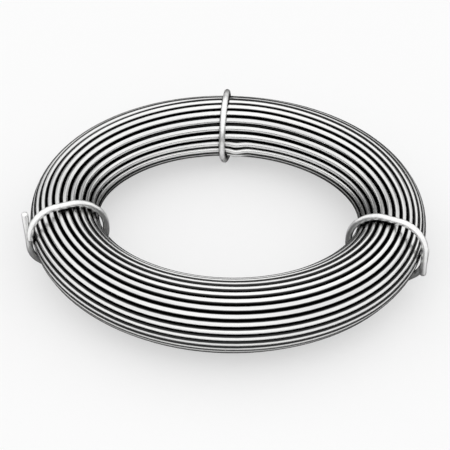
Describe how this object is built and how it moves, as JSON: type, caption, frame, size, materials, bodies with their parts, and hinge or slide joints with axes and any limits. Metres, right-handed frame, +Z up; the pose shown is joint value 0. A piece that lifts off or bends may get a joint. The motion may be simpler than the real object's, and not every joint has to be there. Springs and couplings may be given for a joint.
{
  "type": "coil of spring wire",
  "caption": "Flat-lying ring-shaped coil of bright round spring wire, its turns held in a round bundle by short wire ties with free cut ends.",
  "frame": {"origin": "on the axis of the ring, at the level of the floor that the ties stand on", "axes": "+Z up along the axis of the ring, +X to the right and +Y away from the viewer as in the picture"},
  "size_m": [0.1844, 0.1878, 0.0378],
  "materials": {
    "spring_wire": "bright hard-drawn steel with fine draw lines along the wire",
    "tie_wire": "soft galvanised tie wire, satin"
  },
  "bodies": {
    "root": {"wire_coil": "spring_wire", "back_tie": "tie_wire", "left_tie": "tie_wire", "right_tie": "tie_wire"}
  },
  "joints": []
}
